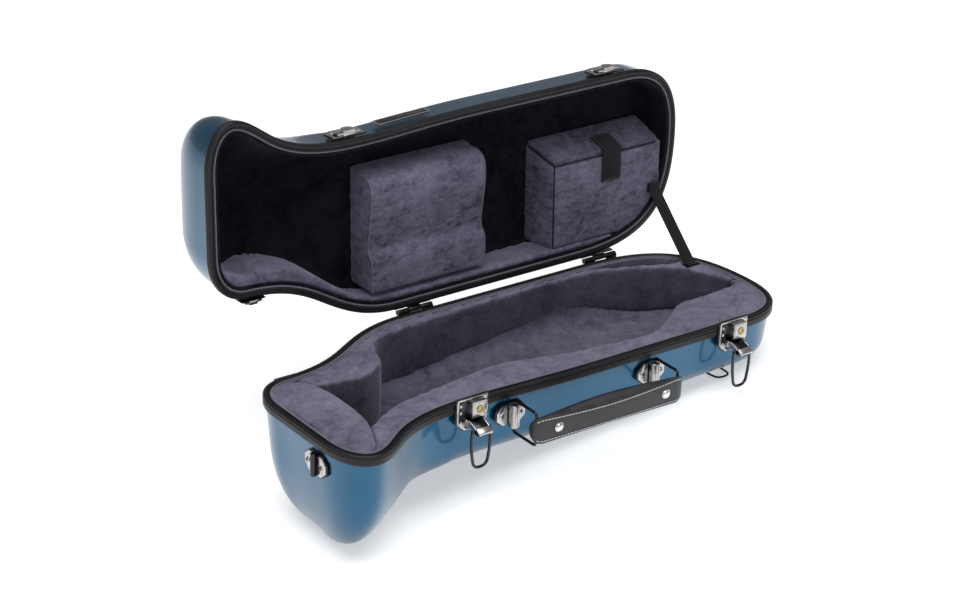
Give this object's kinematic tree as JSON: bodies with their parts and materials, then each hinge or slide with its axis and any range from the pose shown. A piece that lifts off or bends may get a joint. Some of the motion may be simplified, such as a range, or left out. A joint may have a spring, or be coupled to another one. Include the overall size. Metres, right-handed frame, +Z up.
{
  "type": "trumpet case",
  "caption": "Open contoured hard case for a trumpet: deep bell end, plush-lined halves, brace pad and accessory box in the lid, carrying handle and draw latches",
  "frame": {"origin": "centre of the bounding box's bottom face, on the surface the open case stands on", "axes": "+X runs along the case from the bell end to the small end, +Y points from the handle side to the hinge side, +Z is up. The rim slopes 7 degrees down towards the small end, because the deep bell end lifts its end of the case"},
  "size_m": [0.5808, 0.3372, 0.3567],
  "materials": {
    "shell": "high-gloss metallic blue",
    "rubber": "satin black extrusion",
    "plush": "slate-purple short-pile plush over foam",
    "steel": "dark nickel plate",
    "black_steel": "black nickel plate",
    "brass": "satin",
    "leather": "smooth black leather",
    "webbing": "black woven webbing",
    "silver": "bright"
  },
  "bodies": {
    "base": {"base_shell": "shell", "base_rim": "rubber", "base_liner": "plush", "bell_end_pad": "plush", "front_bolster": "plush", "rear_bolster": "plush", "hinge_left_base_leaf": "steel", "hinge_left_pin": "steel", "hinge_right_base_leaf": "steel", "hinge_right_pin": "steel", "latch_left_plate": "steel", "latch_left_lever_pin": "steel", "latch_right_plate": "steel", "latch_right_lever_pin": "steel", "latch_bell_plate": "steel", "latch_bell_lever_pin": "steel", "latch_left_lock": "steel", "latch_right_lock": "steel", "handle_lug_left": "steel", "handle_lug_right": "steel", "bell_end_lug": "steel", "under_lug": "steel", "stay_anchor_base": "black_steel"},
    "lid": {"lid_shell": "shell", "lid_rim": "rubber", "lid_liner": "plush", "lid_hinge_pad": "plush", "lid_brace_pad": "plush", "accessory_box": "plush", "hinge_left_lid_leaf": "steel", "hinge_right_lid_leaf": "steel", "latch_left_keeper": "black_steel", "latch_right_keeper": "black_steel", "latch_bell_keeper": "black_steel", "stay_anchor_lid": "black_steel", "badge": "silver", "stay_strap": "webbing"},
    "box_flap": {"accessory_flap": "plush", "accessory_tab": "webbing"},
    "left_ring": {"handle_ring_left": "black_steel"},
    "right_ring": {"handle_ring_right": "black_steel"},
    "grip": {"handle_grip": "leather", "grip_rivet_left": "silver", "grip_rivet_right": "silver"},
    "strap_ring": {"under_ring": "black_steel"},
    "left_barrel": {"latch_left_lock_barrel": "brass"},
    "right_barrel": {"latch_right_lock_barrel": "brass"},
    "left_lever": {"latch_left_lever": "steel"},
    "left_bail": {"latch_left_bail": "black_steel"},
    "right_lever": {"latch_right_lever": "steel"},
    "right_bail": {"latch_right_bail": "black_steel"},
    "bell_lever": {"latch_bell_lever": "steel"},
    "bell_bail": {"latch_bell_bail": "black_steel"}
  },
  "joints": [
    {"name": "lid_hinge", "type": "hinge", "parent": "base", "child": "lid", "pos_m": [-0.00326, 0.07228, 0.0957], "axis": [0.9925, 0, -0.1219], "range_deg": [0, 92], "deforming": ["stay_strap"]},
    {"name": "accessory_flap_hinge", "type": "hinge", "parent": "lid", "child": "box_flap", "pos_m": [0.20071, 0.11622, 0.19785], "axis": [0.9925, 0, -0.1219], "range_deg": [-35, 0]},
    {"name": "left_lever_turn", "type": "hinge", "parent": "base", "child": "left_lever", "pos_m": [-0.12561, -0.1245, 0.09209], "axis": [-0.9925, 0, 0.1219], "range_deg": [-18, 35]},
    {"name": "left_bail_swing", "type": "hinge", "parent": "left_lever", "child": "left_bail", "pos_m": [-0.12597, -0.135, 0.08911], "axis": [0.9925, 0, -0.1219], "range_deg": [-180, 20]},
    {"name": "right_lever_turn", "type": "hinge", "parent": "base", "child": "right_lever", "pos_m": [0.18605, -0.12872, 0.05382], "axis": [-0.9925, 0, 0.1219], "range_deg": [-18, 35]},
    {"name": "right_bail_swing", "type": "hinge", "parent": "right_lever", "child": "right_bail", "pos_m": [0.18568, -0.13922, 0.05084], "axis": [0.9925, 0, -0.1219], "range_deg": [-180, 20]},
    {"name": "bell_lever_turn", "type": "hinge", "parent": "base", "child": "bell_lever", "pos_m": [-0.23875, 0.02198, 0.10603], "axis": [0.9925, 0, -0.1219], "range_deg": [-18, 35]},
    {"name": "bell_bail_swing", "type": "hinge", "parent": "bell_lever", "child": "bell_bail", "pos_m": [-0.23901, 0.02933, 0.10395], "axis": [-0.9925, 0, 0.1219], "range_deg": [-180, 20]},
    {"name": "handle_swing", "type": "hinge", "parent": "base", "child": "left_ring", "pos_m": [-0.08049, -0.12377, 0.07798], "axis": [0.1219, 0, 0.9925], "range_deg": [-40, 40]},
    {"name": "grip_turn", "type": "hinge", "parent": "left_ring", "child": "grip", "pos_m": [-0.08049, -0.15677, 0.07798], "axis": [0.1219, 0, 0.9925], "range_deg": [-40, 40]},
    {"name": "right_ring_swing", "type": "hinge", "parent": "base", "child": "right_ring", "pos_m": [0.08526, -0.12672, 0.05763], "axis": [0.1219, 0, 0.9925], "range_deg": [-40, 40]},
    {"name": "strap_ring_swing", "type": "hinge", "parent": "base", "child": "strap_ring", "pos_m": [0.18721, -0.08562, 0.00585], "axis": [0.9925, 0, -0.1219], "range_deg": [0, 90]},
    {"name": "left_key_turn", "type": "hinge", "parent": "base", "child": "left_barrel", "pos_m": [-0.12105, -0.1265, 0.10463], "axis": [0, -1, 0], "range_deg": [0, 90]},
    {"name": "right_key_turn", "type": "hinge", "parent": "base", "child": "right_barrel", "pos_m": [0.19061, -0.13072, 0.06636], "axis": [0, -1, 0], "range_deg": [0, 90]}
  ],
  "couplings": [
    {"joint": "grip_turn", "follows": "handle_swing", "ratio": -1},
    {"joint": "right_ring_swing", "follows": "handle_swing", "ratio": 1}
  ]
}
